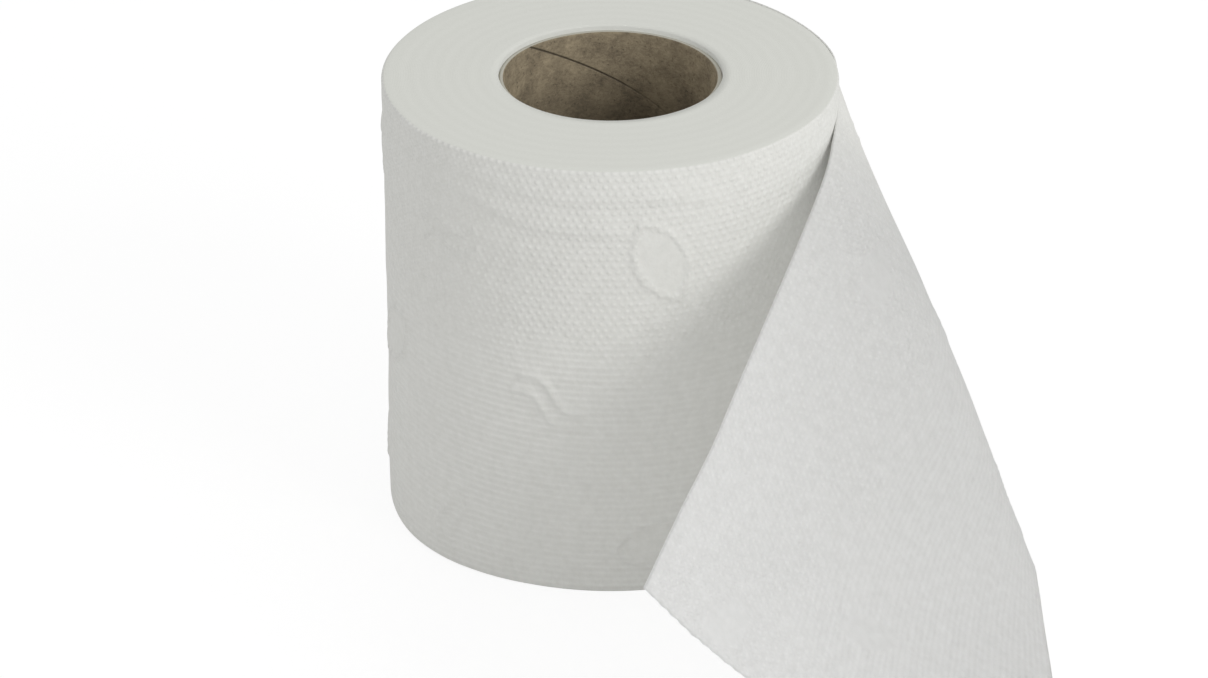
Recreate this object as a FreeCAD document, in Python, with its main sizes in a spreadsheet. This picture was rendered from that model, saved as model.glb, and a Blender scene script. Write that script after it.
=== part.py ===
import FreeCAD, Part
import math
import os
import Sketcher

# Toilet paper roll standing on its end, with the loose end of the web let down beside it.
# The roll's axis is Z and its lower end is at Z = 0. The tail leaves on the right, along -Y.
# A place along the web is its distance, in mm, from the line of the roll that faces +X.

Vector = FreeCAD.Vector
doc = FreeCAD.newDocument("toilet_paper_roll")

# Driving dimensions, in millimetres and degrees
DIMENSIONS = [
    ("sheet_width", 98),
    ("roll_diameter", 96),
    ("core_bore", 45),
    ("core_wall", 1),
    ("core_recess", 0.8),
    ("tail_thickness", 0.5),
    ("tail_sink", 0.3),
    ("edge_inset", 0.15),
    ("ring_count", 8),
    ("ring_width", 0.9),
    ("ring_depth", 0.45),
    ("rim_bevel", 0.3),
    ("tail_root_angle", 72),
    ("foot_angle", 53),
    ("foot_flare_run", 78.5),
    ("foot_flare_turn", 18),
    ("foot_corner_run", 24.5),
    ("foot_corner_turn", 36),
    ("foot_front_run", 89.5),
    ("foot_front_turn", -1.5),
    ("rim_angle", 9.5),
    ("rim_fall_run", 40.5),
    ("rim_fall_turn", 28),
    ("rim_fall_dip", 21),
    ("rim_front_turn", 4.5),
    ("rim_front_dip", -3),
    ("bow_out", 7.75),
    ("bow_out_place", 32.5),
    ("bow_in", 9.7),
    ("bow_in_place", 121),
]

# Length of the straight pieces that stand for a bent edge, and the tail's number of ribs
EDGE_STEP = 1.0
RIB_COUNT = 21
RIB_POINTS = 5
SEW_TOLERANCE = 0.001

sheet = doc.addObject("Spreadsheet::Sheet", "Dimensions")
for row, (name, value) in enumerate(DIMENSIONS, start=1):
    sheet.set("A%d" % row, name)
    sheet.set("B%d" % row, str(value))
    sheet.setAlias("B%d" % row, name)
doc.recompute()


def size(name):
    """A driving dimension as the sheet holds it."""
    return float(sheet.get(name))


def cell(name):
    """The sheet's cell as an expression names it."""
    return "Dimensions." + name


CORE_RADIUS = "(%s / 2 + %s)" % (cell("core_bore"), cell("core_wall"))
ROLL_RADIUS = "(%s / 2)" % cell("roll_diameter")
RING_PITCH = "((%s - %s) / (%s + 1))" % (ROLL_RADIUS, CORE_RADIUS, cell("ring_count"))


def origin_part(body, role):
    """The body's own origin plane or axis with this role."""
    return next(item for item in body.Origin.OriginFeatures if item.Role == role)


def attached_sketch(body, name, role):
    """A new sketch on one of the body's origin planes."""
    sketch = body.newObject("Sketcher::SketchObject", name)
    sketch.AttachmentSupport = [(origin_part(body, role), "")]
    sketch.MapMode = "FlatFace"
    return sketch


def closed_outline(sketch, corners):
    """Straight sides through corners given as (x, y) expressions, each bound to the sheet."""
    places = []
    for x, y in corners:
        places.append(Vector(float(sheet.evalExpression(x)), float(sheet.evalExpression(y)), 0))
    count = len(places)
    for index, place in enumerate(places):
        sketch.addGeometry(Part.LineSegment(place, places[(index + 1) % count]))
    for index in range(count):
        sketch.addConstraint(Sketcher.Constraint("Coincident", index, 2, (index + 1) % count, 1))
    for index, place in enumerate(places):
        across = sketch.addConstraint(Sketcher.Constraint("DistanceX", -1, 1, index, 1, place.x))
        sketch.setExpression("Constraints[%d]" % across, corners[index][0])
        up = sketch.addConstraint(Sketcher.Constraint("DistanceY", -1, 1, index, 1, place.y))
        sketch.setExpression("Constraints[%d]" % up, corners[index][1])


def end_face_corners(level, inward):
    """Corners of one end of the turns, from the core outward, with a notch ring for every few turns."""
    corners = [(CORE_RADIUS, level)]
    half_width = "%s / 2" % cell("ring_width")
    for ring in range(1, int(size("ring_count")) + 1):
        radius = "%s + %d * %s" % (CORE_RADIUS, ring, RING_PITCH)
        corners.append(("%s - %s" % (radius, half_width), level))
        corners.append((radius, "%s %s %s" % (level, inward, cell("ring_depth"))))
        corners.append(("%s + %s" % (radius, half_width), level))
    corners.append(("%s - %s" % (ROLL_RADIUS, cell("rim_bevel")), level))
    corners.append((ROLL_RADIUS, "%s %s %s" % (level, inward, cell("rim_bevel"))))
    return corners


def make_wound_turns():
    """All the turns on the core, revolved as one ring with notched ends."""
    body = doc.addObject("PartDesign::Body", "WoundTurns")
    body.Label = "wound_turns"
    profile = attached_sketch(body, "TurnsProfile", "XZ_Plane")
    lower = end_face_corners("0", "+")
    upper = end_face_corners(cell("sheet_width"), "-")
    closed_outline(profile, lower + upper[::-1])
    doc.recompute()
    turns = body.newObject("PartDesign::Revolution", "Turns")
    turns.Profile = profile
    turns.ReferenceAxis = (origin_part(body, "Z_Axis"), [""])
    turns.Angle = 360
    body.Tip = turns
    doc.recompute()
    return body


def make_core_tube():
    """The cardboard core: a plain tube, a little shorter than the web is wide."""
    body = doc.addObject("PartDesign::Body", "CoreTube")
    body.Label = "core_tube"
    rings = attached_sketch(body, "CoreSection", "XY_Plane")
    bore = "%s / 2" % cell("core_bore")
    for radius in (CORE_RADIUS, bore):
        circle = rings.addGeometry(Part.Circle(Vector(), Vector(0, 0, 1), float(sheet.evalExpression(radius))))
        rings.addConstraint(Sketcher.Constraint("Coincident", circle, 3, -1, 1))
        bound = rings.addConstraint(Sketcher.Constraint("Radius", circle, float(sheet.evalExpression(radius))))
        rings.setExpression("Constraints[%d]" % bound, radius)
    wall = body.newObject("PartDesign::Pad", "CoreWall")
    wall.Profile = rings
    wall.setExpression("Length", "%s - %s" % (cell("sheet_width"), cell("core_recess")))
    body.Tip = wall
    body.Placement = FreeCAD.Placement(Vector(0, 0, 0), FreeCAD.Rotation())
    doc.recompute()
    return body


def eased(start, end, share):
    """A value that leaves start and reaches end without a jolt."""
    share = min(max(share, 0.0), 1.0)
    return start + (end - start) * (1 - math.cos(math.pi * share)) / 2


class WebEdge:
    """One long edge of the web: round the roll, then off it along legs that turn and dip."""

    def __init__(self, leave_angle, height, legs):
        self.height = height
        self.radius = size("roll_diameter") / 2
        self.leave_place = -math.radians(leave_angle) * self.radius
        self.leave_angle = leave_angle
        self.legs = legs

    def wrapped(self, place, depth):
        """The point at this place while the web still lies on the turns, sunk by depth."""
        angle = place / self.radius
        reach = self.radius - depth
        return Vector(reach * math.cos(angle), -reach * math.sin(angle), self.height)

    def point(self, place, depth):
        """The point of this edge at a place along the web."""
        if place <= self.leave_place:
            return self.wrapped(place, depth)
        here = self.wrapped(self.leave_place, depth)
        left = place - self.leave_place
        heading = self.leave_angle
        dip = 0.0
        for run, turn, dip_end in self.legs:
            length = min(run, left)
            steps = max(1, math.ceil(length / EDGE_STEP))
            for step in range(steps):
                share = (step + 0.5) * length / steps / run
                yaw = math.radians(heading - turn * share)
                fall = math.radians(dip + (dip_end - dip) * share)
                level = math.cos(fall) * length / steps
                here += Vector(level * math.sin(yaw), -level * math.cos(yaw), -math.sin(fall) * length / steps)
            left -= length
            heading -= turn
            dip = dip_end
            if left <= 0:
                break
        return here


class Tail:
    """The loose end of the web, its foot edge on the table and its rim edge leaning inward."""

    def __init__(self):
        self.thickness = size("tail_thickness")
        inset = size("edge_inset")
        foot_legs = [
            (size("foot_flare_run"), size("foot_flare_turn"), 0),
            (size("foot_corner_run"), size("foot_corner_turn"), 0),
            (size("foot_front_run"), size("foot_front_turn"), 0),
        ]
        self.foot = WebEdge(size("foot_angle"), inset, foot_legs)
        self.end_place = self.foot.leave_place + sum(run for run, turn, dip in foot_legs)
        self.rim = WebEdge(size("rim_angle"), size("sheet_width") - inset, [])
        rim_front_run = self.end_place - self.rim.leave_place - size("rim_fall_run")
        fall_dip = size("rim_fall_dip")
        self.rim.legs = [
            (size("rim_fall_run"), size("rim_fall_turn"), fall_dip),
            (rim_front_run, size("rim_front_turn"), fall_dip + size("rim_front_dip")),
        ]
        self.root_place = -math.radians(size("tail_root_angle")) * self.foot.radius

    def depth(self, place):
        """How far the web's middle lies under the turns' outside: deep at its root, then nearly flush."""
        flush = self.thickness / 2 - size("tail_sink") / 2
        return eased(self.thickness, flush, (place - self.root_place) / (self.foot.leave_place - self.root_place))

    def bow(self, place):
        """How far the web's middle stands out of the straight line between its edges."""
        out_place = size("bow_out_place")
        start = self.foot.leave_place
        if place < out_place:
            return eased(0, size("bow_out"), (place - start) / (out_place - start))
        share = (place - out_place) / (size("bow_in_place") - out_place)
        return eased(size("bow_out"), -size("bow_in"), share)

    def ends(self, place):
        """The foot point and the rim point at a place."""
        depth = self.depth(place)
        return self.foot.point(place, depth), self.rim.point(place, depth)

    def normal(self, place):
        """The web's outward direction at a place."""
        foot, rim = self.ends(place)
        foot_before, rim_before = self.ends(place - EDGE_STEP)
        along = (foot + rim) - (foot_before + rim_before)
        return (rim - foot).cross(along).normalize()

    def rib(self, place):
        """Points across the web's inner face at a place, from its foot to its rim."""
        foot, rim = self.ends(place)
        normal = self.normal(place)
        pull = (foot + rim) * 0.5 + normal * (2 * self.bow(place))
        half = normal * (self.thickness / 2)
        curve = Part.BezierCurve()
        curve.setPoles([foot - half + Vector(0, 0, abs(half.z)), pull - half, rim - half])
        return [curve.value(step / (RIB_POINTS - 1)) for step in range(RIB_POINTS)]

    def solid(self):
        """The whole tail: one smooth face through its ribs, thickened outward."""
        reach = self.end_place - self.root_place
        places = [self.root_place + reach * step / (RIB_COUNT - 1) for step in range(RIB_COUNT)]
        inner = Part.BSplineSurface()
        inner.interpolate([self.rib(place) for place in places])
        face = inner.toShape()
        return face.makeOffsetShape(-self.thickness, SEW_TOLERANCE, fill=True).Solids[0]


def make_loose_tail():
    """The tail as a document object."""
    feature = doc.addObject("Part::Feature", "LooseTail")
    feature.Label = "loose_tail"
    feature.Shape = Tail().solid()
    feature.Placement = FreeCAD.Placement(Vector(0, 0, 0), FreeCAD.Rotation())
    return feature


def make_tissue_roll(turns, tail):
    """The one paper web: the turns with their loose end."""
    web = doc.addObject("Part::Fuse", "TissueRoll")
    web.Label = "tissue_roll"
    web.Base = turns
    web.Tool = tail
    doc.recompute()
    return web


def check_document():
    """Stops if any object failed."""
    for item in doc.Objects:
        if "Invalid" in item.State or "Error" in item.State:
            raise RuntimeError("failed object: " + item.Label)


def export(node):
    """Writes one piece as a single valid solid."""
    shape = node.Shape
    if shape.isNull() or not shape.isValid() or len(shape.Solids) != 1:
        raise RuntimeError("bad shape: " + node.Label)
    shape.exportStep(os.path.join("parts", node.Label + ".step"))
    box = shape.BoundBox
    print(node.Label, "volume", round(shape.Volume), "box", [round(v, 2) for v in (
        box.XMin, box.YMin, box.ZMin, box.XMax, box.YMax, box.ZMax)])


core_tube = make_core_tube()
tissue_roll = make_tissue_roll(make_wound_turns(), make_loose_tail())
check_document()
os.makedirs("parts", exist_ok=True)
for piece in (tissue_roll, core_tube):
    export(piece)
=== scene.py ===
import logging
import math
from dataclasses import dataclass, field
from enum import Enum

import bmesh
import bpy
import numpy as np
from mathutils import Euler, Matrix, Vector, noise


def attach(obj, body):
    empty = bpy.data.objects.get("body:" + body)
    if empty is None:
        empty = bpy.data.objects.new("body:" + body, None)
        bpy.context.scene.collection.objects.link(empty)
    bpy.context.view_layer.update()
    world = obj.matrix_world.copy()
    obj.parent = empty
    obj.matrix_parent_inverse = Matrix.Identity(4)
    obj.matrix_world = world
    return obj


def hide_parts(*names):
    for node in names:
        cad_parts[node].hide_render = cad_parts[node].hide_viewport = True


# A toilet paper roll on its end, its loose tail let down at the right and standing in front.
# Lengths are in metres. A place on the web is (along, across): along runs round the roll and down
# the tail from the line that faces +X, and across rises from the web's lower edge.

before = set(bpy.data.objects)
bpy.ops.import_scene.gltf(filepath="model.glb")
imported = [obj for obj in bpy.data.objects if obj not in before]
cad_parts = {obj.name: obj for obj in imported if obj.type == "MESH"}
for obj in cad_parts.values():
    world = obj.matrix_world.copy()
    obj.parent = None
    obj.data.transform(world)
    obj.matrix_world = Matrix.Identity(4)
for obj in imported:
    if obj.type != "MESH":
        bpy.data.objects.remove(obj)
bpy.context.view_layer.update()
LOG = logging.getLogger("toilet_paper_roll")
MM = 0.001
Array = np.ndarray
Socket = bpy.types.NodeSocket
Colour = tuple[float, float, float, float]
WHITE: Colour = (1.0, 1.0, 1.0, 1.0)
MATT_SPECULAR = 0.2


class Piece(Enum):
    """The pieces this scene makes."""

    TURNS = "wound_turns"
    TAIL = "loose_tail"
    CORE = "core_board"
    FLOOR = "floor"


@dataclass(frozen=True)
class WebSize:
    """The web's and the roll's sizes."""

    width: float = 98 * MM
    radius: float = 48 * MM
    thickness: float = 0.32 * MM
    core_radius: float = 23.5 * MM
    seam_angle: float = 75.0

    @property
    def turn(self) -> float:
        """The web's length in one turn of the roll."""
        return 2 * math.pi * self.radius


@dataclass(frozen=True)
class Leg:
    """One stretch of a web edge: its run, the turn it makes and the dip it ends with, in degrees."""

    run: float
    turn: float
    dip: float


def eased(start: float, end: float, share: Array) -> Array:
    """A value that leaves start and reaches end without a jolt.

    Args:
        start: The value at share 0 and before it.
        end: The value at share 1 and after it.
        share: How far along the change is.

    Returns:
        The eased values.
    """
    share = np.clip(share, 0.0, 1.0)
    return start + (end - start) * (0.5 - 0.5 * np.cos(np.pi * share))


def grain(points: Array, scale: float, seed: float) -> Array:
    """Smooth noise from -1 to 1 at points.

    Args:
        points: Rows of x, y and z.
        scale: The size of the noise's features.
        seed: Shifts the pattern.

    Returns:
        One value for each row.
    """
    shift = Vector((seed * 17.3, seed * 5.1, seed * 9.7))
    return np.array([noise.noise(Vector(row) / scale + shift) for row in points.tolist()])


@dataclass(frozen=True)
class Wave:
    """A soft uneven wave in a surface: the size of its features, its height and its pattern's seed."""

    size: float
    height: float
    seed: float

    def at(self, points: Array) -> Array:
        """The wave's heights at rows of x, y and z."""
        return grain(points, self.size, self.seed) * self.height


@dataclass
class WebEdge:
    """One long edge of the web, wrapped on the roll up to its leaving angle and then led by legs."""

    leave_angle: float
    height: float
    legs: list[Leg]
    size: WebSize

    @property
    def leave_place(self) -> float:
        """Where along the web this edge leaves the roll."""
        return -math.radians(self.leave_angle) * self.size.radius

    def wrapped(self, along: Array, reach: float) -> Array:
        """The edge while it lies on the roll.

        Args:
            along: Places along the web.
            reach: The edge's distance from the axis.

        Returns:
            One row of x, y and z for each place.
        """
        angle = along / self.size.radius
        rise = np.full_like(angle, self.height)
        return np.stack([reach * np.cos(angle), -reach * np.sin(angle), rise], axis=-1)

    def points(self, along: Array, reach: float) -> Array:
        """Points of the edge.

        Args:
            along: Places along the web.
            reach: The edge's distance from the axis while it is wrapped.

        Returns:
            One row of x, y and z for each place.
        """
        step = 0.25 * MM
        bends = np.cumsum([0.0] + [leg.run for leg in self.legs])
        yaws = np.cumsum([self.leave_angle] + [-leg.turn for leg in self.legs])
        dips = [0.0] + [leg.dip for leg in self.legs]
        middles = np.arange(step / 2, bends[-1] + step, step)
        yaw = np.radians(np.interp(middles, bends, yaws))
        dip = np.radians(np.interp(middles, bends, dips))
        level = np.cos(dip)
        heading = np.stack([np.sin(yaw) * level, -np.cos(yaw) * level, -np.sin(dip)], axis=-1)
        start = self.wrapped(np.array([self.leave_place]), reach)
        path = np.vstack([start, start + np.cumsum(heading * step, axis=0)])
        gone = along - self.leave_place
        marks = np.arange(len(path)) * step
        free = np.stack([np.interp(gone, marks, path[:, axis]) for axis in range(3)], axis=-1)
        return np.where((gone > 0)[:, None], free, self.wrapped(along, reach))


@dataclass
class WebShape:
    """The bent form of the tail, from its seam on the roll to its torn end."""

    size: WebSize = field(default_factory=WebSize)
    foot_angle: float = 53.0
    foot_legs: tuple[Leg, ...] = (
        Leg(78.5 * MM, 18.0, 0.0),
        Leg(24.5 * MM, 36.0, 0.0),
        Leg(89.5 * MM, -1.5, 0.0),
    )
    rim_angle: float = 9.5
    rim_fall: Leg = Leg(40.5 * MM, 28.0, 21.0)
    rim_front_turn: float = 4.5
    rim_front_dip: float = 18.0
    bow_out: float = 7.75 * MM
    bow_out_place: float = 32.5 * MM
    bow_in: float = 9.7 * MM
    bow_in_place: float = 121 * MM
    tuck_way: tuple[float, float, float] = (0.0, 0.88, -0.47)
    tuck: float = 8.5 * MM
    tuck_from: float = -12 * MM
    tuck_place: float = 18 * MM
    tuck_until: float = 68 * MM
    hug_until: float = 12 * MM
    hug_fade: float = 26 * MM
    hug_most: float = 1.3 * MM
    hug_hold: float = 0.95
    hug_power: int = 8
    rim_cover: float = 6 * MM

    def __post_init__(self) -> None:
        """Works out the two edges and the places where the sheet starts and ends."""
        self.foot = WebEdge(self.foot_angle, 0.0, list(self.foot_legs), self.size)
        self.end_place = self.foot.leave_place + sum(leg.run for leg in self.foot_legs)
        self.seam_place = -math.radians(self.size.seam_angle) * self.size.radius
        self.rim = WebEdge(self.rim_angle, self.size.width, [], self.size)
        front_run = self.end_place - self.rim.leave_place - self.rim_fall.run
        self.rim.legs = [self.rim_fall, Leg(front_run, self.rim_front_turn, self.rim_front_dip)]

    @property
    def covered_until(self) -> tuple[float, float]:
        """How far along the tail covers the wound turns, at their foot and at their rim."""
        return self.foot.leave_place, self.rim.leave_place + self.rim_cover

    def bow(self, along: Array) -> Array:
        """How far the web's middle stands out of the straight line between its edges.

        Args:
            along: Places along the web.

        Returns:
            Distances in metres.
        """
        start = self.foot.leave_place
        out = eased(0.0, self.bow_out, (along - start) / (self.bow_out_place - start))
        share = (along - self.bow_out_place) / (self.bow_in_place - self.bow_out_place)
        back = eased(self.bow_out, -self.bow_in, share)
        return np.where(along < self.bow_out_place, out, back)

    def surface(self, along: Array, across: Array) -> Array:
        """Points of the tail's outer face.

        Args:
            along: Places along the web.
            across: Places across the web, one for each of them.

        Returns:
            One row of x, y and z for each place.
        """
        foot = self.foot.points(along, self.size.radius)
        rim = self.rim.points(along, self.size.radius)
        step = 0.5 * MM
        foot_back = self.foot.points(along - step, self.size.radius)
        rim_back = self.rim.points(along - step, self.size.radius)
        normal = np.cross(rim - foot, (foot + rim) - (foot_back + rim_back))
        normal /= np.linalg.norm(normal, axis=1)[:, None]
        pull = (foot + rim) / 2 + normal * (2 * self.bow(along))[:, None]
        share = (across / self.size.width)[:, None]
        face = (1 - share) ** 2 * foot + 2 * share * (1 - share) * pull + share**2 * rim
        face = face + self.tucked_back(along)[:, None] * share**3 * np.array(self.tuck_way)
        return self.hugging(face, along, share[:, 0])

    def hugging(self, face: Array, along: Array, share: Array) -> Array:
        """The face with its rim edge drawn in to the roll where it leaves it.

        Args:
            face: Points of the outer face.
            along: Their places along the web.
            share: Their share of the way up from the foot to the rim.

        Returns:
            The points, drawn in towards the axis.
        """
        reach = np.hypot(face[:, 0], face[:, 1])
        hold = share**self.hug_power * eased(self.hug_hold, 0.0, (along - self.hug_until) / self.hug_fade)
        drawn_in = 1 - hold * np.clip(reach - self.size.radius, 0.0, self.hug_most) / reach
        return face * np.stack([drawn_in, drawn_in, np.ones_like(reach)], axis=-1)

    def tucked_back(self, along: Array) -> Array:
        """How far the rim edge is drawn back and down against the roll where it leaves it.

        Args:
            along: Places along the web.

        Returns:
            Distances in metres.
        """
        before, after = self.tuck_place - self.tuck_from, self.tuck_until - self.tuck_place
        grown = eased(0.0, self.tuck, (along - self.tuck_from) / before)
        freed = eased(self.tuck, 0.0, (along - self.tuck_place) / after)
        return np.where(along < self.tuck_place, grown, freed)


class Motif(Enum):
    """The quilting motifs of the emboss."""

    LEAF = "leaf"
    RIPPLES = "ripples"


@dataclass(frozen=True)
class Quilting:
    """The web's quilted relief: leaf outlines and pairs of ripples in a staggered layout."""

    web_width: float
    pitch_along: float = 47 * MM
    pitch_across: float = 33 * MM
    first_along: float = 18 * MM
    first_across: float = 11.5 * MM
    leaf_half_length: float = 9.5 * MM
    leaf_half_width: float = 5.2 * MM
    ripple_length: float = 15 * MM
    ripple_swing: float = 1.6 * MM
    ripple_gap: float = 4.2 * MM
    ripple_slope: float = 0.85
    tilt_first: float = 66.0
    tilt_step: float = 37.0
    tilts: int = 5
    ridge_width: float = 0.66 * MM
    ridge_height: float = 0.56 * MM
    pillow_height: float = 0.14 * MM

    def leaf(self, x: Array, y: Array) -> tuple[Array, Array]:
        """Distance to a leaf's outline, and a mask of its inside.

        Args:
            x: Places along the leaf from its middle.
            y: Places across it.

        Returns:
            The distance from the outline and the inside mask from 0 to 1.
        """
        length, width = self.leaf_half_length, self.leaf_half_width
        radius = (length**2 + width**2) / (2 * width)
        upper = np.hypot(x, y + radius - width) - radius
        lower = np.hypot(x, y - radius + width) - radius
        outside = np.maximum(upper, lower)
        return np.abs(outside), eased(0.0, 1.0, (-outside - self.ridge_width) / self.ridge_width)

    def ripples(self, x: Array, y: Array) -> Array:
        """Distance to the nearer of two wavy strokes.

        Args:
            x: Places along the strokes from their middle.
            y: Places across them.

        Returns:
            The distances.
        """
        off = y - self.ripple_swing * np.sin(2 * np.pi * x / self.ripple_length)
        past_end = np.maximum(np.abs(x) - self.ripple_length / 2, 0.0)
        near = np.minimum(np.abs(off - self.ripple_gap / 2), np.abs(off + self.ripple_gap / 2))
        return np.hypot(near * self.ripple_slope, past_end)

    def relief(self, along: Array, across: Array) -> tuple[Array, Array]:
        """The quilting's height, and how smooth it leaves the web between its dots.

        Args:
            along: Places along the web.
            across: Places across the web.

        Returns:
            Heights in metres, and a mask that is 1 inside the leaves.
        """
        height = np.zeros_like(along)
        smooth = np.zeros_like(along)
        first = int(np.floor(along.min() / self.pitch_along)) - 1
        last = int(np.ceil(along.max() / self.pitch_along)) + 1
        rows = int(np.ceil(self.web_width / self.pitch_across)) + 1
        for column in range(first, last + 1):
            for row in range(-1, rows + 1):
                centre_x = (column + 0.5 * (row % 2)) * self.pitch_along + self.first_along
                centre_y = row * self.pitch_across + self.first_across
                kind = Motif.RIPPLES if (column + row) % 2 == 0 else Motif.LEAF
                turns = (column * 2 + row * 4) % self.tilts
                tilt = math.radians(self.tilt_first - self.tilt_step * turns)
                x, y = along - centre_x, across - centre_y
                near = np.hypot(x, y) < self.ripple_length
                turned_x = (x * math.cos(tilt) + y * math.sin(tilt))[near]
                turned_y = (y * math.cos(tilt) - x * math.sin(tilt))[near]
                if kind is Motif.LEAF:
                    distance, inside = self.leaf(turned_x, turned_y)
                    smooth[near] = np.maximum(smooth[near], inside)
                    height[near] += self.pillow_height * inside
                else:
                    distance = self.ripples(turned_x, turned_y)
                height[near] += self.ridge_height * np.exp(-((distance / self.ridge_width) ** 2))
        return height, smooth


@dataclass(frozen=True)
class Crease:
    """A soft fold in the wound web along a line of places in millimetres, steeper on its lower side."""

    line: tuple[tuple[float, float], ...]
    height: float
    width: float
    rounding: float = 3 * MM
    end_fade: float = 7 * MM
    upper_steepness: float = 0.35

    def relief(self, along: Array, across: Array) -> Array:
        """The fold's height: it rises gently from above, drops at its line and fades at its ends.

        Args:
            along: Places along the web.
            across: Places across the web.

        Returns:
            Heights in metres.
        """
        places = np.array(sorted(self.line)) * MM
        level = np.interp(along, places[:, 0], places[:, 1])
        for shift in (-self.rounding, self.rounding):
            level += np.interp(along + shift, places[:, 0], places[:, 1])
        distance = (across - level / 3) / self.width
        fade = eased(0.0, 1.0, (along - places[0, 0]) / self.end_fade)
        fade = fade * eased(0.0, 1.0, (places[-1, 0] - along) / self.end_fade)
        spread = np.where(distance > 0, self.upper_steepness, 1.0)
        return self.height * fade * np.exp(-((distance * spread) ** 2))


CREASES = (
    Crease(
        ((127, 84), (118, 87.2), (110, 89.3), (103, 88.8), (99, 85.9), (85, 84.3), (70, 84.5)),
        0.48 * MM,
        1.3 * MM,
    ),
    Crease(
        ((130, 97), (116, 94.7), (99, 92.6), (88, 91.3), (68, 91.8), (50, 89.5)),
        0.37 * MM,
        1.2 * MM,
    ),
    Crease(((108, 79), (98, 77.5), (88, 76.5), (78, 77)), 0.14 * MM, 1.2 * MM),
    Crease(((125, 72), (110, 68.5), (98, 69)), 0.12 * MM, 1.5 * MM),
    Crease(((136, 80), (150, 84), (170, 83), (182, 87)), 0.35 * MM, 1.4 * MM),
    Crease(((190, 91), (205, 88.5), (226, 90.5)), 0.30 * MM, 1.3 * MM),
    Crease(((240, 20), (225, 14), (210, 16)), 0.25 * MM, 1.3 * MM),
    Crease(((98, 26), (108, 22.5), (124, 20)), 0.16 * MM, 1.2 * MM),
)


def link(tree: bpy.types.NodeTree, start: Socket, end: Socket) -> None:
    """Joins two sockets."""
    tree.links.new(start, end)


@dataclass(frozen=True)
class Speckle:
    """A fine pattern in a finish: its features in a metre, its finer layers and their strength."""

    scale: float
    detail: float = 2.0
    rough: float = 0.5


@dataclass(frozen=True)
class FineRelief:
    """A relief too fine for the mesh: its height and its strength."""

    height: float
    strength: float


@dataclass
class NodeDesk:
    """Short ways to add the nodes that the finishes share."""

    tree: bpy.types.NodeTree

    def add(self, kind: str, **values: object) -> bpy.types.Node:
        """A new node.

        Args:
            kind: Its type.
            **values: The properties to set on it.

        Returns:
            The node.
        """
        node = self.tree.nodes.new(kind)
        for name, value in values.items():
            setattr(node, name, value)
        return node

    def feed(self, socket: Socket, value: object) -> None:
        """Links a socket or sets its value.

        Args:
            socket: The socket that takes it.
            value: Another socket or a plain value.
        """
        if isinstance(value, Socket):
            link(self.tree, value, socket)
        else:
            socket.default_value = value

    def math(self, operation: str, first: object, second: object = 0.0, third: object = 0.0) -> Socket:
        """The result of a math node.

        Args:
            operation: What it does.
            first: Its first socket or value.
            second: Its second one.
            third: Its third one.

        Returns:
            The result's socket.
        """
        node = self.add("ShaderNodeMath", operation=operation)
        for socket, value in zip(node.inputs, (first, second, third)):
            self.feed(socket, value)
        return node.outputs[0]

    def place(self) -> Socket:
        """The place on the piece, in its own frame."""
        return self.add("ShaderNodeTexCoord").outputs["Object"]

    def attribute(self, name: str) -> Socket:
        """A number that the piece's mesh holds at each vertex."""
        return self.add("ShaderNodeAttribute", attribute_name=name).outputs["Fac"]

    def split(self, vector: Socket) -> tuple[Socket, Socket, Socket]:
        """A vector's parts.

        Args:
            vector: The vector's socket.

        Returns:
            The sockets of its x, y and z.
        """
        node = self.add("ShaderNodeSeparateXYZ")
        self.feed(node.inputs[0], vector)
        return node.outputs["X"], node.outputs["Y"], node.outputs["Z"]

    def noise(self, vector: Socket, speckle: Speckle) -> Socket:
        """A noise texture's factor.

        Args:
            vector: Where it is read.
            speckle: Its pattern.

        Returns:
            The factor's socket.
        """
        node = self.add("ShaderNodeTexNoise")
        self.feed(node.inputs["Vector"], vector)
        node.inputs["Scale"].default_value = speckle.scale
        node.inputs["Detail"].default_value = speckle.detail
        node.inputs["Roughness"].default_value = speckle.rough
        return node.outputs["Fac"]

    def ranged(self, value: object, low: float, high: float, to_low: float, to_high: float) -> Socket:
        """A value moved from one range to another, and kept within it.

        Args:
            value: The value's socket.
            low: Where the first range starts.
            high: Where it ends.
            to_low: Where the new range starts.
            to_high: Where it ends.

        Returns:
            The result's socket.
        """
        node = self.add("ShaderNodeMapRange")
        for name, amount in (
            ("Value", value),
            ("From Min", low),
            ("From Max", high),
            ("To Min", to_low),
            ("To Max", to_high),
        ):
            self.feed(node.inputs[name], amount)
        return node.outputs["Result"]

    def blend(self, share: object, first: object, second: object) -> Socket:
        """A mix of two colours.

        Args:
            share: The second colour's share.
            first: The first colour.
            second: The second colour.

        Returns:
            The colour's socket.
        """
        node = self.add("ShaderNodeMix", data_type="RGBA")
        self.feed(node.inputs["Factor"], share)
        self.feed(node.inputs["A"], first)
        self.feed(node.inputs["B"], second)
        return node.outputs["Result"]

    def in_plain_sight(self) -> Socket:
        """A mask of the rays that the camera, a mirror or clear glass would see, but no soft light.

        Returns:
            The mask's socket.
        """
        path = self.add("ShaderNodeLightPath").outputs
        clear = self.math("SUBTRACT", path["Is Transmission Ray"], path["Is Diffuse Ray"])
        mirrored = self.math("MAXIMUM", path["Is Glossy Ray"], clear)
        return self.math("MAXIMUM", path["Is Camera Ray"], mirrored)

    def bump(self, height: Socket, relief: FineRelief, under: object = None) -> Socket:
        """A bump's normal, laid over another one.

        Args:
            height: The relief's shape, from 0 to 1.
            relief: Its height and strength.
            under: The normal that it lies over.

        Returns:
            The normal's socket.
        """
        node = self.add("ShaderNodeBump")
        self.feed(node.inputs["Height"], height)
        node.inputs["Distance"].default_value = relief.height
        node.inputs["Strength"].default_value = relief.strength
        if under is not None:
            self.feed(node.inputs["Normal"], under)
        return node.outputs["Normal"]


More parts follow.
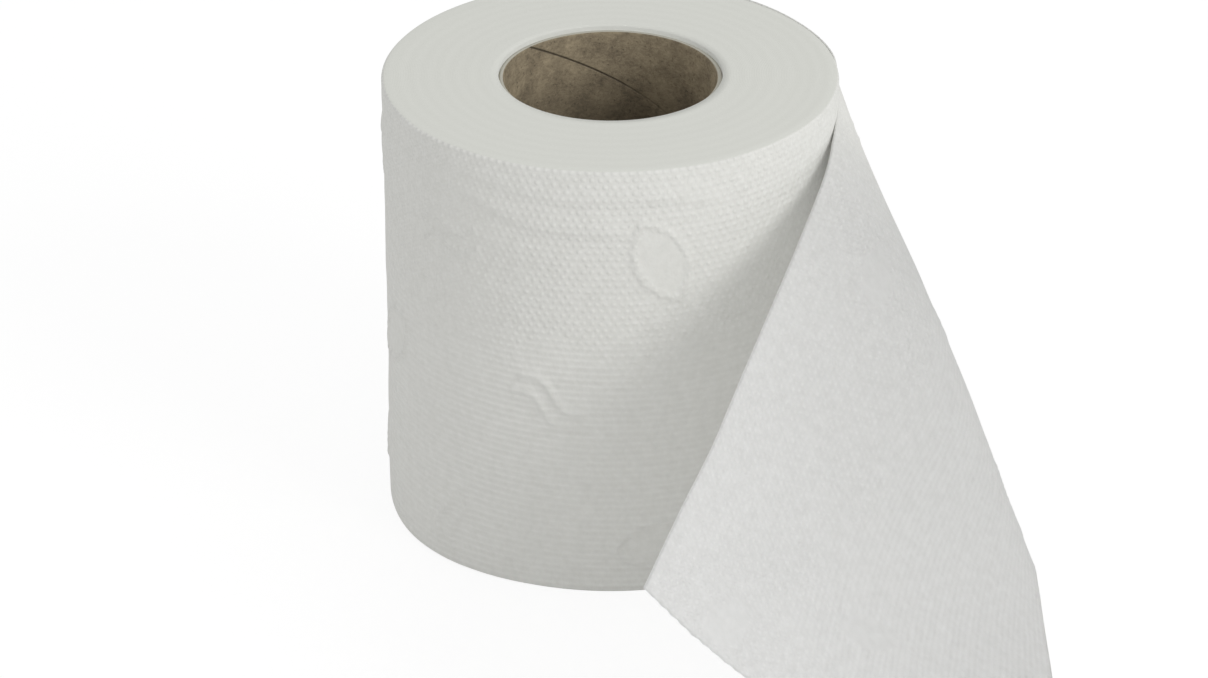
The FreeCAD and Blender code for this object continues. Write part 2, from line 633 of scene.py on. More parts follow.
def linear(red: float, green: float, blue: float) -> Colour:
    """A colour in the linear values that shaders use.

    Args:
        red: Its red as the screen shows it, from 0 to 255.
        green: Its green.
        blue: Its blue.

    Returns:
        The colour, with full cover.
    """

    def decoded(value: float) -> float:
        """One channel's linear value."""
        share = value / 255
        return share / 12.92 if share <= 0.04045 else ((share + 0.055) / 1.055) ** 2.4

    return decoded(red), decoded(green), decoded(blue), 1.0


def shaded(name: str) -> tuple[bpy.types.Material, NodeDesk, bpy.types.Node]:
    """A new matt node material.

    Args:
        name: The material's name.

    Returns:
        The material, its desk and its shader node.
    """
    material = bpy.data.materials.new(name)
    material.use_nodes = True
    desk = NodeDesk(material.node_tree)
    shader = material.node_tree.nodes["Principled BSDF"]
    shader.inputs["Specular IOR Level"].default_value = MATT_SPECULAR
    return material, desk, shader


@dataclass(frozen=True)
class TissueFinish:
    """Soft matt tissue with rows of staggered embossed dots, whose pits carry painted shade; a loose ply
    lets light through.
    """

    name: str = "embossed_tissue"
    light: Colour = linear(232, 232, 228)
    dark: Colour = linear(219, 219, 214)
    loose_light: Colour = linear(247, 247, 247)
    loose_dark: Colour = linear(233, 233, 232)
    soaked_light: Colour = linear(255, 255, 254)
    soaked_dark: Colour = linear(244, 244, 243)
    see_through: float = 0.62
    dot_pitch: float = 1.74 * MM
    row_pitch: float = 1.48 * MM
    dot_range: tuple[float, float] = (-0.6, 3.0)
    dot_relief: FineRelief = FineRelief(0.23 * MM, 0.8)
    # Painted shade: the dots' tops are painted lighter and the pits between them darker.
    dot_painted_shade: float = 0.4
    rows_fade: tuple[float, float] = (68 * MM, 84 * MM)
    rows_drift: float = 40 * MM
    rows_share: float = 0.85
    rows_height: float = 0.7
    rows_speckle: Speckle = Speckle(60.0)
    patches: Speckle = Speckle(38.0)
    patch_range: tuple[float, float] = (0.36, 0.62)
    patch_least: float = 0.7
    fibre: Speckle = Speckle(1700.0, 4.0, 0.7)
    fibre_relief: FineRelief = FineRelief(0.035 * MM, 0.5)
    cloud: Speckle = Speckle(230.0, 3.0, 0.6)
    cloud_relief: FineRelief = FineRelief(0.10 * MM, 0.35)
    crepe: Speckle = Speckle(620.0, 3.0, 0.6)
    crepe_relief: FineRelief = FineRelief(0.26 * MM, 0.7)
    tones: Speckle = Speckle(520.0, 5.0, 0.65)
    tone_range: tuple[float, float] = (0.3, 0.7)
    roughness: float = 0.95
    sheen: float = 0.15
    sheen_roughness: float = 0.6

    def dots(self, desk: NodeDesk, along: Socket, across: Socket) -> Socket:
        """The height of staggered round dots, from 0 to 1, that melt into rows low on the web.

        Args:
            desk: The material's desk.
            along: The places along the web.
            across: The places across it.

        Returns:
            The height's socket.
        """
        columns = desk.math("COSINE", desk.math("MULTIPLY", along, 2 * math.pi / self.dot_pitch))
        stagger = desk.math("COSINE", desk.math("MULTIPLY", across, math.pi / self.row_pitch))
        rows = desk.math("COSINE", desk.math("MULTIPLY", across, 2 * math.pi / self.row_pitch))
        lattice = desk.math("MULTIPLY_ADD", desk.math("MULTIPLY", columns, stagger), 2.0, rows)
        round_dots = desk.ranged(lattice, *self.dot_range, 0.0, 1.0)
        plain_rows = desk.ranged(rows, -1.0, 1.0, 0.0, self.rows_height)
        wander = desk.noise(desk.place(), self.rows_speckle)
        drift = desk.math("MULTIPLY_ADD", wander, self.rows_drift, across)
        low = desk.ranged(drift, *self.rows_fade, self.rows_share, 0.0)
        melted = desk.add("ShaderNodeMix", data_type="FLOAT")
        desk.feed(melted.inputs["Factor"], low)
        desk.feed(melted.inputs["A"], round_dots)
        desk.feed(melted.inputs["B"], plain_rows)
        return melted.outputs["Result"]

    def build(self) -> bpy.types.Material:
        """Makes the material.

        Returns:
            The finished material.
        """
        material, desk, shader = shaded(self.name)
        place = desk.place()
        loose, smooth = desk.attribute("loose"), desk.attribute("smooth")
        patchy = desk.ranged(desk.noise(place, self.patches), *self.patch_range, self.patch_least, 1.0)
        kept = desk.math("MULTIPLY", patchy, desk.math("SUBTRACT", 1.0, smooth))
        lattice = self.dots(desk, desk.attribute("along"), desk.attribute("across"))
        dots = desk.math("MULTIPLY", lattice, kept)
        normal = desk.bump(desk.noise(place, self.cloud), self.cloud_relief)
        normal = desk.bump(desk.noise(place, self.crepe), self.crepe_relief, normal)
        normal = desk.bump(desk.noise(place, self.fibre), self.fibre_relief, normal)
        normal = desk.bump(dots, self.dot_relief, normal)
        uneven = desk.noise(place, self.tones)
        # The uneven tone leaves room for the painted dot shade, which lightens the dots' tops and darkens
        # their pits.
        tone = desk.ranged(uneven, *self.tone_range, 0.0, 1.0 - self.dot_painted_shade)
        tone = desk.math("MULTIPLY_ADD", dots, self.dot_painted_shade, tone)
        wound_colour = desk.blend(tone, self.dark, self.light)
        loose_colour = desk.blend(tone, self.loose_dark, self.loose_light)
        link(desk.tree, desk.blend(loose, wound_colour, loose_colour), shader.inputs["Base Color"])
        link(desk.tree, normal, shader.inputs["Normal"])
        shader.inputs["Roughness"].default_value = self.roughness
        shader.inputs["Sheen Weight"].default_value = self.sheen
        shader.inputs["Sheen Roughness"].default_value = self.sheen_roughness
        soaked_colour = desk.blend(tone, self.soaked_dark, self.soaked_light)
        self.let_through(desk, soaked_colour, normal, loose)
        return material

    def let_through(self, desk: NodeDesk, colour: Socket, normal: Socket, loose: Socket) -> None:
        """Lets part of the light through the web where it hangs as a single loose ply.

        Args:
            desk: The material's desk.
            colour: The colour that the web gives the light that soaks through it.
            normal: The relief's normal.
            loose: How loose the web is, from 0 to 1.
        """
        through = desk.add("ShaderNodeBsdfTranslucent")
        link(desk.tree, colour, through.inputs["Color"])
        link(desk.tree, normal, through.inputs["Normal"])
        mixed = desk.add("ShaderNodeMixShader")
        desk.feed(mixed.inputs["Fac"], desk.math("MULTIPLY", loose, self.see_through))
        link(desk.tree, desk.tree.nodes["Principled BSDF"].outputs[0], mixed.inputs[1])
        link(desk.tree, through.outputs[0], mixed.inputs[2])
        link(desk.tree, mixed.outputs[0], desk.tree.nodes["Material Output"].inputs["Surface"])


@dataclass(frozen=True)
class TurnEdgeFinish:
    """The cut edges of the wound turns: faint rings with fuzzy fibres."""

    name: str = "turn_edges"
    light: Colour = linear(231, 232, 226)
    dark: Colour = linear(217, 218, 211)
    turn_pitch: float = 0.34 * MM
    turn_relief: FineRelief = FineRelief(0.04 * MM, 0.25)
    turn_tone: float = 0.2
    turn_drift: float = 1.4 * MM
    drift: Speckle = Speckle(45.0)
    band_pitch: float = 2.9 * MM
    band_tone: float = 0.12
    fuzz: Speckle = Speckle(1500.0, 4.0, 0.7)
    fuzz_relief: FineRelief = FineRelief(0.07 * MM, 0.6)
    fuzz_tone: float = 0.6

    def build(self) -> bpy.types.Material:
        """Makes the material.

        Returns:
            The finished material.
        """
        material, desk, shader = shaded(self.name)
        place = desk.place()
        squares = [desk.math("POWER", part, 2.0) for part in desk.split(place)[:2]]
        radius = desk.math("SQRT", desk.math("ADD", *squares))
        drift = desk.math("MULTIPLY", desk.noise(place, self.drift), self.turn_drift)
        wandering = desk.math("ADD", radius, drift)
        turns = desk.math("MULTIPLY", wandering, 2 * math.pi / self.turn_pitch)
        ring = desk.ranged(desk.math("SINE", turns), -1.0, 1.0, 0.0, 1.0)
        bands = desk.math("SINE", desk.math("MULTIPLY", wandering, 2 * math.pi / self.band_pitch))
        fuzz = desk.noise(place, self.fuzz)
        normal = desk.bump(fuzz, self.fuzz_relief, desk.bump(ring, self.turn_relief))
        turn_tone = desk.math("MULTIPLY", ring, self.turn_tone)
        fuzz_tone = desk.math("MULTIPLY", fuzz, self.fuzz_tone)
        band_tone = desk.ranged(bands, -1.0, 1.0, 0.0, self.band_tone)
        tone = desk.math("ADD", desk.math("ADD", turn_tone, fuzz_tone), band_tone)
        link(desk.tree, desk.blend(tone, self.dark, self.light), shader.inputs["Base Color"])
        link(desk.tree, normal, shader.inputs["Normal"])
        shader.inputs["Roughness"].default_value = 1.0
        return material


@dataclass(frozen=True)
class BoardFinish:
    """Recycled grey-brown board with fine flecks, a dark spiral seam inside, a pale cut edge and painted
    shade that darkens the bore towards the bottom.
    """

    name: str = "core_board"
    light: Colour = linear(192, 177, 149)
    dark: Colour = linear(112, 102, 86)
    # The dark colour of the flecks and the seam, also used for the painted shade low in the bore.
    fleck_seam_and_shade: Colour = linear(52, 47, 39)
    cut_edge: Colour = linear(186, 184, 172)
    mottle: Speckle = Speckle(210.0, 5.0, 0.7)
    mottle_range: tuple[float, float] = (0.34, 0.66)
    fibre: Speckle = Speckle(1100.0, 5.0, 0.75)
    fibre_range: tuple[float, float] = (0.3, 0.7)
    fibre_stretch: tuple[float, float, float] = (1.0, 1.0, 1.6)
    fibre_relief: FineRelief = FineRelief(0.10 * MM, 0.6)
    flecks: Speckle = Speckle(1500.0)
    fleck_range: tuple[float, float] = (0.62, 0.74)
    fleck_share: float = 0.5
    seam_lead: float = 77.5 * MM
    seam_height: float = 86.8 * MM
    seam_angle: float = 91.3
    seam_width: float = 0.0042
    seam_middle: float = 0.3
    seam_fades: tuple[float, float] = (82.5 * MM, 87.5 * MM)
    seam_deep: float = 0.25
    seam_tone: float = 0.75
    seam_relief: FineRelief = FineRelief(0.2 * MM, 0.8)
    # Painted shade: the dark colour is blended into the bore's wall more strongly lower down, from none
    # at 90 mm to half at 74 mm.
    painted_depth_shade_share: float = 0.5
    painted_depth_shade_range: tuple[float, float] = (74 * MM, 90 * MM)
    roughness: float = 0.85

    def seam(self, desk: NodeDesk, place: Socket) -> Socket:
        """A mask of the spiral line where the strip's turns meet.

        Args:
            desk: The material's desk.
            place: The places on the board.

        Returns:
            The mask's socket.
        """
        x, y, height = desk.split(place)
        angle = desk.math("ARCTAN2", y, x)
        start = self.seam_height / self.seam_lead - math.radians(self.seam_angle) / (2 * math.pi)
        risen = desk.math("DIVIDE", height, self.seam_lead)
        turned = desk.math("MULTIPLY_ADD", angle, -1 / (2 * math.pi), risen)
        away = desk.math("ABSOLUTE", desk.math("WRAP", desk.math("SUBTRACT", turned, start), 0.5, -0.5))
        line = desk.ranged(away, self.seam_width * self.seam_middle, self.seam_width, 1.0, 0.0)
        return desk.math("MULTIPLY", line, desk.ranged(height, *self.seam_fades, self.seam_deep, 1.0))

    def build(self) -> bpy.types.Material:
        """Makes the material.

        Returns:
            The finished material.
        """
        material, desk, shader = shaded(self.name)
        place = desk.place()
        stretched = desk.add("ShaderNodeMapping")
        link(desk.tree, place, stretched.inputs["Vector"])
        stretched.inputs["Scale"].default_value = self.fibre_stretch
        mottle = desk.ranged(desk.noise(place, self.mottle), *self.mottle_range, 0.0, 1.0)
        fibre = desk.ranged(desk.noise(stretched.outputs[0], self.fibre), *self.fibre_range, 0.0, 1.0)
        mean = desk.math("MULTIPLY", desk.math("ADD", mottle, fibre), 0.5)
        seam = self.seam(desk, place)
        tone = desk.blend(mean, self.dark, self.light)
        for share in (
            desk.ranged(desk.noise(place, self.flecks), *self.fleck_range, 0.0, self.fleck_share),
            # Painted shade darkening the bore towards the bottom.
            desk.ranged(desk.split(place)[2], *self.painted_depth_shade_range, self.painted_depth_shade_share, 0.0),
            desk.math("MULTIPLY", seam, self.seam_tone),
        ):
            tone = desk.blend(share, tone, self.fleck_seam_and_shade)
        edge = desk.attribute("cut_edge")
        link(desk.tree, desk.blend(edge, tone, self.cut_edge), shader.inputs["Base Color"])
        rough = desk.bump(fibre, self.fibre_relief)
        grooved = desk.bump(desk.math("SUBTRACT", 1.0, seam), self.seam_relief, rough)
        link(desk.tree, grooved, shader.inputs["Normal"])
        shader.inputs["Roughness"].default_value = self.roughness
        return material


@dataclass(frozen=True)
class FloorFinish:
    """A plain white floor that the camera sees almost white, with the object's soft shadow on it."""

    name: str = "floor_white"
    colour: Colour = linear(246, 246, 246)
    shade_share: float = 0.22
    glow: float = 1.08

    def build(self) -> bpy.types.Material:
        """Makes the material.

        Returns:
            The finished material.
        """
        material, desk, shader = shaded(self.name)
        shader.inputs["Base Color"].default_value = self.colour
        shader.inputs["Roughness"].default_value = 1.0
        glow = desk.add("ShaderNodeEmission")
        glow.inputs["Color"].default_value = WHITE
        glow.inputs["Strength"].default_value = self.glow
        share = desk.math("MULTIPLY", desk.in_plain_sight(), 1.0 - self.shade_share)
        mixed = desk.add("ShaderNodeMixShader")
        desk.feed(mixed.inputs["Fac"], share)
        link(desk.tree, shader.outputs[0], mixed.inputs[1])
        link(desk.tree, glow.outputs[0], mixed.inputs[2])
        output = desk.tree.nodes["Material Output"]
        link(desk.tree, mixed.outputs[0], output.inputs["Surface"])
        return material


def set_places(mesh: bmesh.types.BMesh, places: Array) -> None:
    """Moves each vertex of a mesh to its row of places."""
    for vertex, place in zip(mesh.verts, places.tolist()):
        vertex.co = place


def places_of(mesh: bmesh.types.BMesh) -> Array:
    """The vertices' places as rows."""
    return np.array([vertex.co[:] for vertex in mesh.verts])


def mark(mesh: bmesh.types.BMesh, name: str, values: Array) -> None:
    """Writes one number for each vertex as a named attribute.

    Args:
        mesh: The mesh that takes it.
        name: The attribute's name.
        values: The numbers.
    """
    layer = mesh.verts.layers.float.new(name)
    for vertex, value in zip(mesh.verts, values.tolist()):
        vertex[layer] = value


def spun_ring(outline: list[tuple[float, float]], columns: int) -> bmesh.types.BMesh:
    """A ring spun about the roll's axis.

    Args:
        outline: The corners of its closed outline as (radius, height).
        columns: How many columns of faces it gets.

    Returns:
        The new mesh, with its faces pointing outwards.
    """
    mesh = bmesh.new()
    corners = [mesh.verts.new((radius, 0.0, height)) for radius, height in outline]
    sides = [mesh.edges.new(pair) for pair in zip(corners, corners[1:] + corners[:1])]
    bmesh.ops.spin(
        mesh,
        geom=corners + sides,
        cent=(0, 0, 0),
        axis=(0, 0, 1),
        angle=2 * math.pi,
        steps=columns,
        use_merge=True,
    )
    bmesh.ops.recalc_face_normals(mesh, faces=mesh.faces[:])
    mesh.verts.index_update()
    return mesh


def finished_piece(
    mesh: bmesh.types.BMesh, name: Piece, materials: list[bpy.types.Material]
) -> bpy.types.Object:
    """Turns a bmesh into a smooth-shaded piece with its materials.

    Args:
        mesh: The modelled mesh, which is freed.
        name: The piece's name.
        materials: One material for each slot.

    Returns:
        The new object, at the origin.
    """
    data = bpy.data.meshes.new(name.value)
    mesh.to_mesh(data)
    mesh.free()
    for polygon in data.polygons:
        polygon.use_smooth = True
    for material in materials:
        data.materials.append(material)
    piece = bpy.data.objects.new(name.value, data)
    bpy.context.collection.objects.link(piece)
    return piece


def swell(size: WebSize, along: Array, across: Array) -> Array:
    """How far the outer turn stands in or out where it is wound unevenly.

    Args:
        size: The web's sizes.
        along: Places along the web, the same after each turn of the roll.
        across: Places across the web.

    Returns:
        Heights in metres.
    """
    broad, fine = Wave(26 * MM, 0.22 * MM, 1.0), Wave(9 * MM, 0.07 * MM, 2.0)
    bands, band_squeeze = Wave(16 * MM, 0.07 * MM, 3.0), np.array([1.0, 1.0, 4.5])
    angle = along / size.radius
    around = np.stack([np.cos(angle) * size.radius, np.sin(angle) * size.radius, across], axis=-1)
    return broad.at(around) + fine.at(around) + bands.at(around * band_squeeze)


@dataclass
class WoundTurns:
    """The turns on the core: a ring whose side is the outer turn and whose ends show the turns' edges."""

    size: WebSize
    quilting: Quilting
    tissue: bpy.types.Material
    covered_until: tuple[float, float]
    cover_fade: float = 8 * MM
    squeeze: float = 1.4 * MM
    squeeze_place: float = 119 * MM
    squeeze_run: float = 19 * MM
    squeeze_height: float = 24 * MM
    columns: int = 528
    side_rows: int = 150
    end_rings: int = 14
    end_fade: float = 1.5 * MM
    end_reach: float = 0.99
    slack: float = 0.01 * MM
    ring_pitch: float = 0.62 * MM
    rim_round: float = 0.7 * MM
    rim_steps: int = 3
    seam_gap: float = 0.02
    lift: float = 0.05 * MM
    slot_side: int = 0
    slot_ends: int = 1

    def profile(self) -> list[tuple[float, float]]:
        """The ring's closed outline, up its bore and down its side.

        Returns:
            Its corners as (radius, height).
        """
        inner, outer = self.size.core_radius, self.size.radius
        top = self.size.width
        flat_end = outer - self.rim_round
        radii = np.linspace(inner, flat_end, self.end_rings)
        turn = np.radians(np.linspace(90, 0, self.rim_steps + 2)[1:-1])
        rim = [(flat_end + self.rim_round * math.cos(a), self.rim_round * math.sin(a)) for a in turn]
        heights = np.linspace(top - self.rim_round, self.rim_round, self.side_rows)
        outline = [(inner, top * share) for share in (0.0, 0.25, 0.5, 0.75)]
        outline += [(radius, top) for radius in radii]
        outline += [(radius, top - self.rim_round + rise) for radius, rise in rim]
        outline += [(outer, height) for height in heights]
        outline += [(radius, self.rim_round - rise) for radius, rise in rim[::-1]]
        outline += [(radius, 0.0) for radius in radii[:0:-1]]
        return outline

    def seam_angles(self, spun_angle: Array) -> Array:
        """Angles with the last column drawn up to the first, at the seam where the tail begins.

        Args:
            spun_angle: The even angles of the plain ring, clockwise from above.

        Returns:
            The angles the columns get.
        """
        step = 2 * math.pi / self.columns
        column = np.round(spun_angle / step) % self.columns
        seam_gap = math.radians(self.seam_gap)
        start = -math.radians(self.size.seam_angle) + seam_gap
        return start + column * (2 * math.pi - 2 * seam_gap) / (self.columns - 1)

    def side_relief(self, along: Array, across: Array) -> tuple[Array, Array]:
        """How far the outer turn stands in or out, and its smooth mask.

        Args:
            along: Places along the web.
            across: Places across the web.

        Returns:
            Heights in metres, and a mask that is 1 inside the leaves.
        """
        quilt, smooth = self.quilting.relief(along, across)
        folds = sum(crease.relief(along, across) for crease in CREASES)
        foot, rim = self.covered_until
        cover_end = foot + (rim - foot) * across / self.size.width
        open_share = eased(0.0, 1.0, (along - cover_end) / self.cover_fade)
        squeezed = self.squeeze * np.exp(-(((along - self.squeeze_place) / self.squeeze_run) ** 2))
        squeezed = squeezed * eased(1.0, 0.0, across / self.squeeze_height)
        return quilt * open_share + swell(self.size, along, across) + folds + squeezed, smooth

    def end_relief(self, radius: Array, angle: Array, seed: float) -> Array:
        """How far each turn's edge stands out of the end face.

        Args:
            radius: Distances from the axis.
            angle: Angles about the axis.
            seed: Shifts the pattern.

        Returns:
            Heights in metres.
        """
        fine, fine_reach = Wave(1.3 * MM, 0.07 * MM, seed), 2 * MM
        broad, broad_reach = Wave(7 * MM, 0.10 * MM, seed + 4), 6 * MM
        way = np.stack([np.zeros_like(angle), np.cos(angle), np.sin(angle)], axis=-1)
        out = np.stack([radius, np.zeros_like(radius), np.zeros_like(radius)], axis=-1)
        turns = out / self.ring_pitch * MM
        return fine.at(turns + way * fine_reach) + broad.at(out + way * broad_reach)

    def build(self) -> bpy.types.Object:
        """Makes the piece.

        Returns:
            The ring of wound turns.
        """
        mesh = spun_ring(self.profile(), self.columns)
        places = places_of(mesh)
        plain_radius = np.hypot(places[:, 0], places[:, 1])
        height = places[:, 2]
        angle = self.seam_angles(np.arctan2(-places[:, 1], places[:, 0]) % (2 * math.pi))
        outer, top = self.size.radius, self.size.width
        flat_end = outer - self.rim_round
        on_side = eased(0.0, 1.0, (plain_radius - flat_end) / self.rim_round)
        turned = (angle + math.radians(self.size.seam_angle)) / (2 * math.pi)
        along = angle * outer
        relief, smooth = self.side_relief(along, height)
        sunk = self.size.thickness * (1 - turned)
        radius = plain_radius + (relief - sunk) * on_side
        on_end = eased(0.0, 1.0, (radius - self.size.core_radius) / self.end_fade) * (1 - on_side)
        upper = self.end_relief(radius, angle, 11.0)
        lower = np.minimum(self.end_relief(radius, angle, 23.0), 0.0)
        end_edge = self.rim_round * self.end_reach
        is_upper, is_lower = height > top - end_edge, height < end_edge
        raised = np.where(is_upper, upper, 0.0) - np.where(is_lower, lower, 0.0)
        height = np.maximum(height + raised * on_end, self.lift)
        set_places(mesh, np.stack([radius * np.cos(angle), -radius * np.sin(angle), height], axis=-1))
        mark(mesh, "along", along)
        mark(mesh, "across", height)
        mark(mesh, "smooth", smooth)
        mark(mesh, "loose", np.zeros_like(along))
        for face in mesh.faces:
            on_turn = all(plain_radius[vertex.index] > flat_end + self.slack for vertex in face.verts)
            face.material_index = self.slot_side if on_turn else self.slot_ends
        return finished_piece(mesh, Piece.TURNS, [self.tissue, TurnEdgeFinish().build()])


@dataclass
class LooseTail:
    """The web's loose end, from the seam on the roll to its torn perforation."""

    shape: WebShape
    quilting: Quilting
    tissue: bpy.types.Material
    columns: int = 250
    rows: int = 112
    tooth_pitch: float = 2.9 * MM
    tooth_depth: float = 0.28 * MM
    tooth_fade: float = 3 * MM
    tear: tuple[Wave, ...] = (Wave(1.1 * MM, 0.12 * MM, 5.0), Wave(14 * MM, 0.25 * MM, 6.0))
    billow: Wave = Wave(30 * MM, 0.9 * MM, 7.0)
    billow_squeeze: tuple[float, float, float] = (1.0, 0.55, 1.0)
    crinkle: Wave = Wave(11 * MM, 0.16 * MM, 8.0)
    quilt_left: float = 0.36
    foot_height: float = 7 * MM
    lift: float = 0.05 * MM
    rim_held: float = 15 * MM
    loosening: float = 45 * MM

    def torn(self, along: Array, across: Array) -> Array:
        """Places along the web, with the torn end's small teeth.

        Args:
            along: Even places along the sheet.
            across: The places across it.

        Returns:
            The places with the end's last millimetres drawn in between the teeth.
        """
        near_end = eased(0.0, 1.0, (along - self.shape.end_place + self.tooth_fade) / self.tooth_fade)
        rows = np.stack([across, np.zeros_like(across), np.zeros_like(across)], axis=-1)
        ragged = np.abs(np.sin(np.pi * across / self.tooth_pitch)) * self.tooth_depth
        ragged += sum(wave.at(rows) + wave.height for wave in self.tear)
        return along - ragged * near_end

    def relief(self, along: Array, across: Array) -> tuple[Array, Array]:
        """The sheet's waves and quilting out of its smooth bent form, and its smooth mask.

        Args:
            along: Places along the web.
            across: Places across the web.

        Returns:
            Heights in metres, and a mask that is 1 inside the leaves.
        """
        size = self.shape.size
        quilt, smooth = self.quilting.relief(along + size.turn, across)
        flat = np.stack([along, across, np.zeros_like(along)], axis=-1)
        free = self.looseness(along, np.zeros_like(along))
        waves = self.billow.at(flat * np.array(self.billow_squeeze)) + self.crinkle.at(flat)
        held = swell(size, along, across) * (1 - free)
        return quilt * eased(1.0, self.quilt_left, free) + held + waves * free, smooth

    def looseness(self, along: Array, across: Array) -> Array:
        """How loose the web is, from 0 while it lies on or near the roll to 1.

        Args:
            along: Places along the web.
            across: Places across the web.

        Returns:
            The shares.
        """
        foot, rim = self.shape.foot.leave_place, self.shape.rim.leave_place + self.rim_held
        start = foot + (rim - foot) * across / self.shape.size.width
        return eased(0.0, 1.0, (along - start) / self.loosening)

    def outward(self, along: Array, across: Array) -> Array:
        """Which way the bent sheet's outer face looks.

        Args:
            along: Places along the web.
            across: Places across the web.

        Returns:
            One row of unit length for each place.
        """
        step = 0.2 * MM
        surface = self.shape.surface
        ahead = surface(along + step * 0.5, across) - surface(along - step * 0.5, across)
        below = np.clip(across - step, 0, None)
        above = np.clip(across + step, None, self.shape.size.width)
        normal = np.cross(surface(along, above) - surface(along, below), ahead)
        return normal / np.linalg.norm(normal, axis=1)[:, None]

    def build(self) -> bpy.types.Object:
        """Makes the piece.

        Returns:
            The sheet, with its thickness.
        """
        mesh = bmesh.new()
        bmesh.ops.create_grid(mesh, x_segments=self.columns, y_segments=self.rows, size=0.5)
        even = places_of(mesh) + 0.5
        start, end = self.shape.seam_place, self.shape.end_place
        across = even[:, 1] * self.shape.size.width
        along = self.torn(start + even[:, 0] * (end - start), across)
        face = self.shape.surface(along, across)
        normal = self.outward(along, across)
        height, smooth = self.relief(along, across)
        level = eased(0.0, 1.0, across / self.foot_height)
        out = np.stack([normal[:, 0], normal[:, 1], normal[:, 2] * level], axis=-1)
        face = face + out * height[:, None]
        set_places(mesh, face)
        mark(mesh, "along", along + self.shape.size.turn)
        mark(mesh, "across", across)
        mark(mesh, "smooth", smooth)
        mark(mesh, "loose", self.looseness(along, across))
        bmesh.ops.recalc_face_normals(mesh, faces=mesh.faces[:])
        mesh.faces.ensure_lookup_table()
        first = mesh.faces[0]
        if first.normal.dot(Vector(normal[first.verts[0].index])) < 0:
            bmesh.ops.reverse_faces(mesh, faces=mesh.faces[:])
        bmesh.ops.solidify(mesh, geom=mesh.faces[:], thickness=self.shape.size.thickness)
        for vertex in mesh.verts:
            vertex.co.z = max(vertex.co.z, self.lift)
        return finished_piece(mesh, Piece.TAIL, [self.tissue])


@dataclass
class CoreBoard:
    """The cardboard core: a tube wound from a strip, whose spiral seam shows inside."""

    outer: float = 23.35 * MM
    bore: float = 22.5 * MM
    height: float = 97.2 * MM
    edge: float = 0.12 * MM
    dents: Wave = Wave(19 * MM, 0.22 * MM, 31.0)
    columns: int = 240
    rows: int = 150
    rows_in_one_outside: int = 30

    def outline(self) -> list[tuple[float, float]]:
        """The tube's closed outline, up its bore and down its outside.

        Returns:
            Its corners as (radius, height).
        """
        edge = self.edge
        heights = np.linspace(edge, self.height - edge, self.rows)
        corners = [(self.bore, height) for height in heights]
        corners += [(self.bore + edge, self.height), (self.outer - edge, self.height)]
        corners += [(self.outer, height) for height in heights[:: -self.rows_in_one_outside]]
        return corners + [(self.outer - edge, 0.0), (self.bore + edge, 0.0)]

    def relief(self, angle: Array, height: Array) -> Array:
        """How far soft dents bring the bore's wall inward.

        Args:
            angle: Angles about the axis.
            height: Heights over the floor.

        Returns:
            Depths in metres.
        """
        rows = np.stack([np.cos(angle) * self.bore, np.sin(angle) * self.bore, height], axis=-1)
        return self.dents.at(rows)

    def build(self) -> bpy.types.Object:
        """Makes the piece.

        Returns:
            The core tube.
        """
        mesh = spun_ring(self.outline(), self.columns)
        places = places_of(mesh)
        radius = np.hypot(places[:, 0], places[:, 1])
        angle = np.arctan2(places[:, 1], places[:, 0])
        inner = radius < self.bore + self.edge * 0.5
        radius = radius - np.where(inner, self.relief(angle, places[:, 2]), 0.0)
        moved = [radius * np.cos(angle), radius * np.sin(angle), places[:, 2]]
        set_places(mesh, np.stack(moved, axis=-1))
        mark(mesh, "cut_edge", (places[:, 2] > self.height - self.edge * 0.5).astype(float))
        return finished_piece(mesh, Piece.CORE, [BoardFinish().build()])


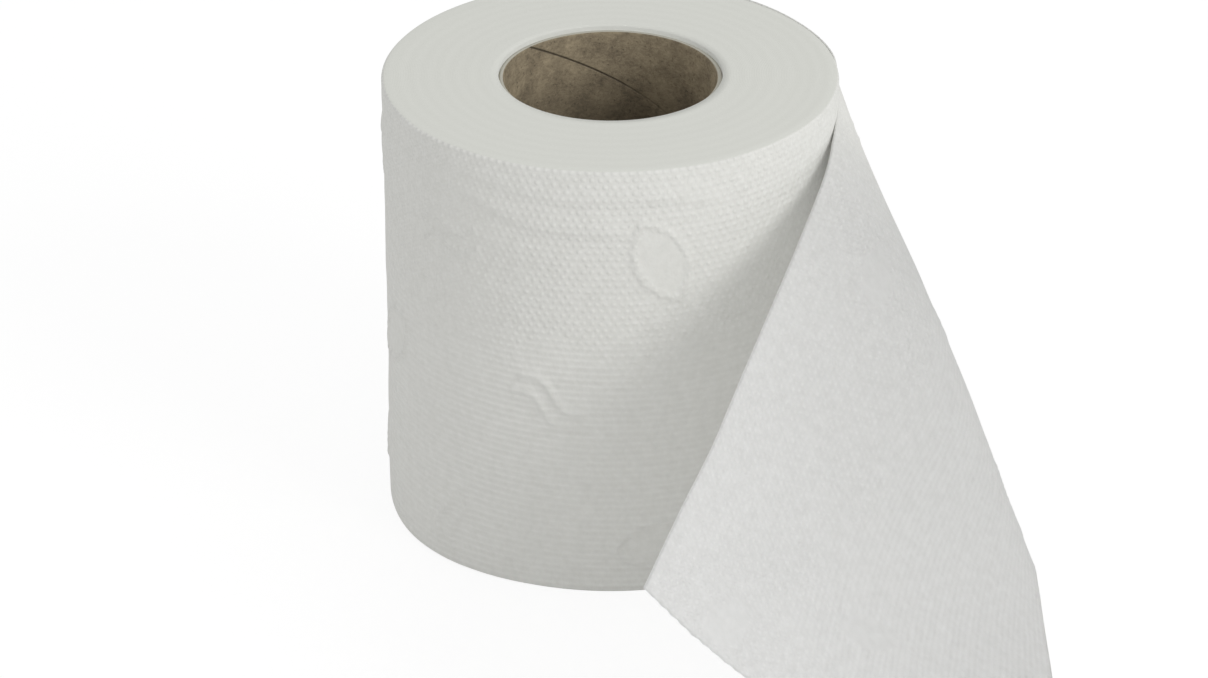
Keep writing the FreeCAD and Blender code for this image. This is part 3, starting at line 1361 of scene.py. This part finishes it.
@dataclass
class Studio:
    """The floor, the soft light and the camera."""

    look_at: Vector = field(default_factory=lambda: Vector((-1.37, 0.0, 34.79)) * MM)
    distance: float = 1.0
    pitch: float = 28.06
    focal_px: float = 4636.24
    picture_width: float = 1208.0
    sensor: float = 36.0
    key_direction: Vector = field(default_factory=lambda: Vector((0.663, -0.557, 0.50)))
    key_aim: Vector = field(default_factory=lambda: Vector((0.02, -0.03, 0.05)))
    key_distance: float = 1.5
    key_side: float = 0.6
    key_power: float = 6.9
    fill: float = 0.705
    floor_size: float = 6.0

    def floor(self) -> bpy.types.Object:
        """A wide plain floor.

        Returns:
            The floor.
        """
        mesh = bmesh.new()
        bmesh.ops.create_grid(mesh, x_segments=1, y_segments=1, size=self.floor_size)
        return finished_piece(mesh, Piece.FLOOR, [FloorFinish().build()])

    def key_light(self) -> None:
        """A square soft lamp that faces the roll from the front right."""
        data = bpy.data.lights.new("key_light", "AREA")
        data.shape = "SQUARE"
        data.size = self.key_side
        data.energy = self.key_power
        lamp = bpy.data.objects.new("key_light", data)
        lamp.location = self.key_direction.normalized() * self.key_distance + self.key_aim
        lamp.rotation_euler = self.key_direction.to_track_quat("Z", "Y").to_euler()
        bpy.context.collection.objects.link(lamp)

    def surroundings(self) -> None:
        """A plain white world: white to the camera and a soft fill on the object."""
        world = bpy.data.worlds.new("studio_white")
        world.use_nodes = True
        desk = NodeDesk(world.node_tree)
        backdrop = world.node_tree.nodes["Background"]
        backdrop.inputs["Color"].default_value = WHITE
        strength = desk.ranged(desk.in_plain_sight(), 0.0, 1.0, self.fill, 1.0)
        desk.feed(backdrop.inputs["Strength"], strength)
        bpy.context.scene.world = world

    def camera(self) -> None:
        """The camera, at the photograph's viewing angle."""
        data = bpy.data.cameras.new("photo_view")
        data.sensor_width = self.sensor
        data.lens = self.focal_px / self.picture_width * self.sensor
        camera = bpy.data.objects.new("photo_view", data)
        tilt = math.radians(self.pitch)
        back = Vector((0.0, -math.cos(tilt), math.sin(tilt))) * self.distance
        camera.location = self.look_at + back
        camera.rotation_euler = Euler((math.pi / 2 - tilt, 0.0, 0.0))
        bpy.context.collection.objects.link(camera)
        bpy.context.scene.camera = camera

    def build(self) -> None:
        """Sets the whole studio up."""
        self.floor()
        self.key_light()
        self.surroundings()
        self.camera()
        bpy.context.scene.view_settings.view_transform = "Standard"


def dress(piece: bpy.types.Object, node: str) -> None:
    """Rides a piece on the roll's body, in place of a node.

    Args:
        piece: The finished piece.
        node: The node that it stands for.
    """
    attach(piece, "root")
    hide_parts(node)
    LOG.info("%s: %d faces", piece.name, len(piece.data.polygons))


def main() -> None:
    """Builds the pieces in order and the studio round them."""
    logging.basicConfig(level=logging.INFO, format="%(message)s")
    shape = WebShape()
    quilting = Quilting(shape.size.width)
    tissue = TissueFinish().build()
    turns = WoundTurns(shape.size, quilting, tissue, shape.covered_until)
    dress(turns.build(), "tissue_roll")
    tail = LooseTail(shape, quilting, tissue).build()
    dress(tail, "tissue_roll")
    dress(CoreBoard().build(), "core_tube")
    Studio().build()


if __name__ == "__main__":
    main()
